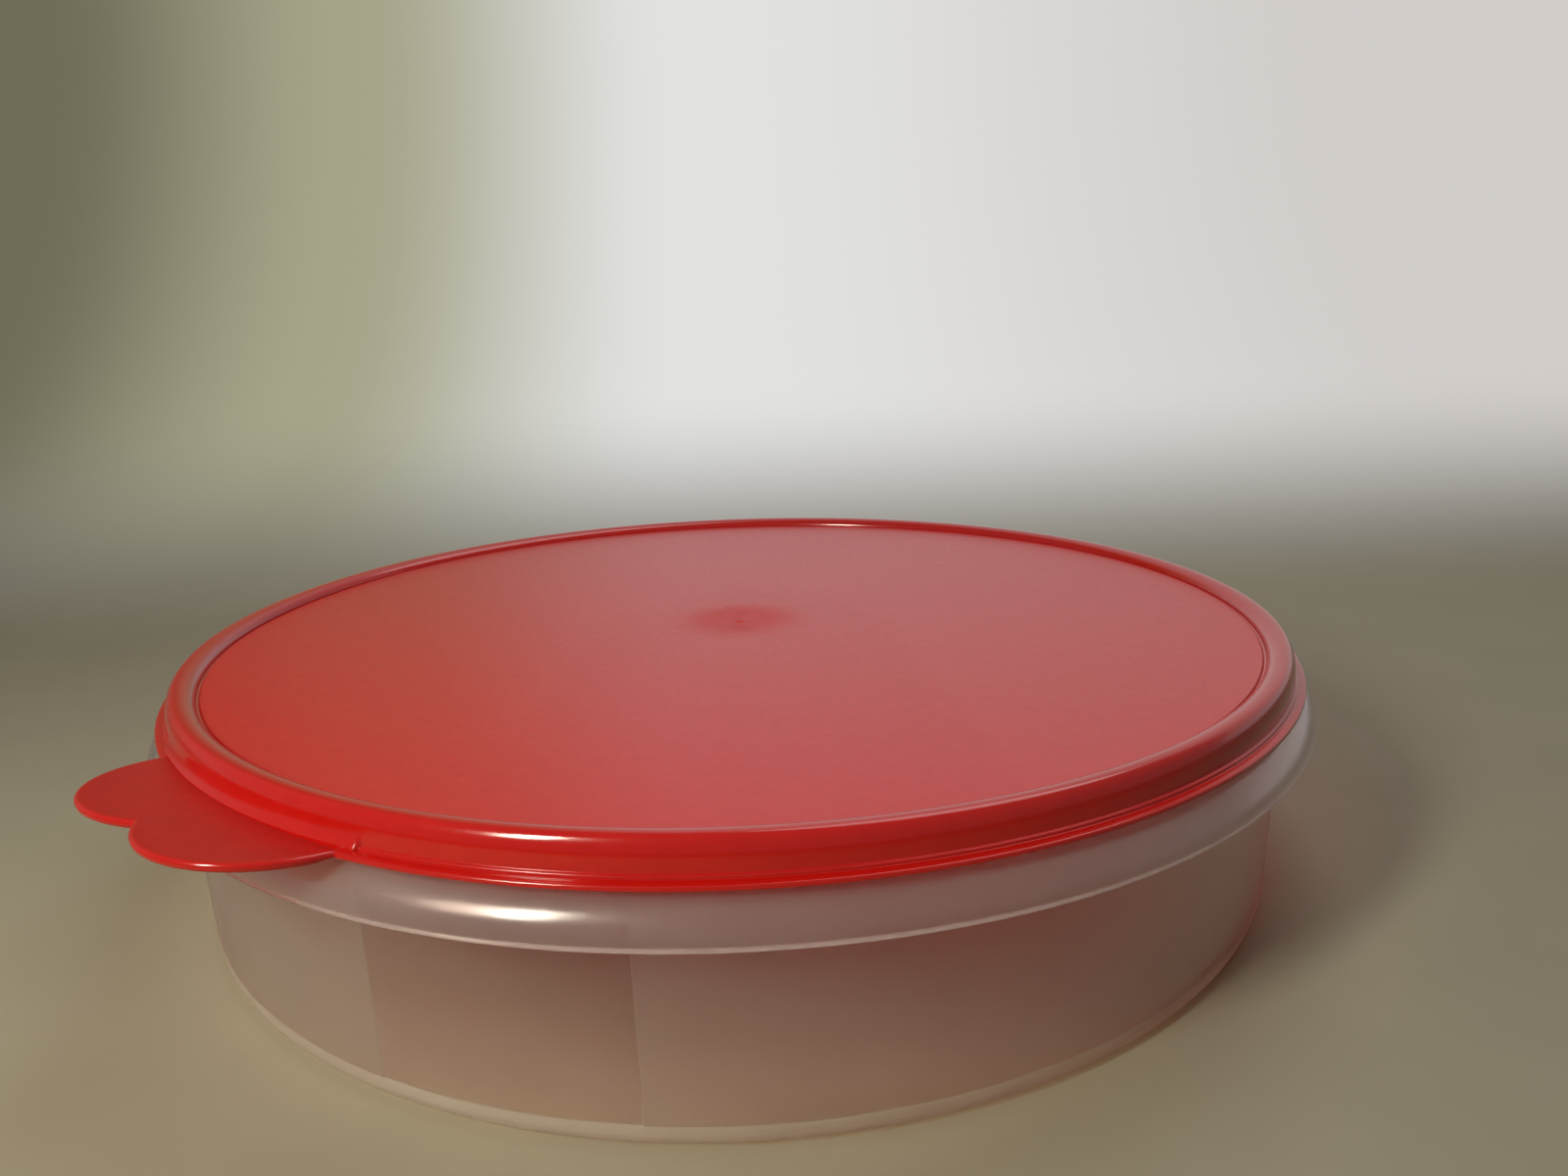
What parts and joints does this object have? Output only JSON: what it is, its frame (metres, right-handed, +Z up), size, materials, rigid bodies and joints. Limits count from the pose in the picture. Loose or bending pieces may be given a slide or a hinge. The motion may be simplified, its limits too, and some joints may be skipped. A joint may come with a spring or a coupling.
{
  "type": "round food storage container",
  "caption": "Low round translucent food keeper with a flush red press-on lid, a rounded sealing rim, a turned-down skirt, a clear window and a two-lobed pull tab.",
  "frame": {"origin": "middle of the foot ring, on the plane that the bowl stands on", "axes": "+Z up through the lid; -Y is the front, with the window and, to its left, the pull tab"},
  "size_m": [0.306, 0.306, 0.0614],
  "materials": {
    "bowl_plastic": "milky translucent polypropylene, frosted wall, polished window, rim and skirt",
    "lid_plastic": "red soft polyethylene that lets a little light through, glossy rim, fine satin panel and tab"
  },
  "bodies": {
    "bowl": {"bowl": "bowl_plastic"},
    "lid": {"lid": "lid_plastic"}
  },
  "joints": [
    {"name": "lid_lift", "type": "slide", "parent": "bowl", "child": "lid", "axis": [0, 0, 1], "range_m": [0, 0.1]}
  ]
}
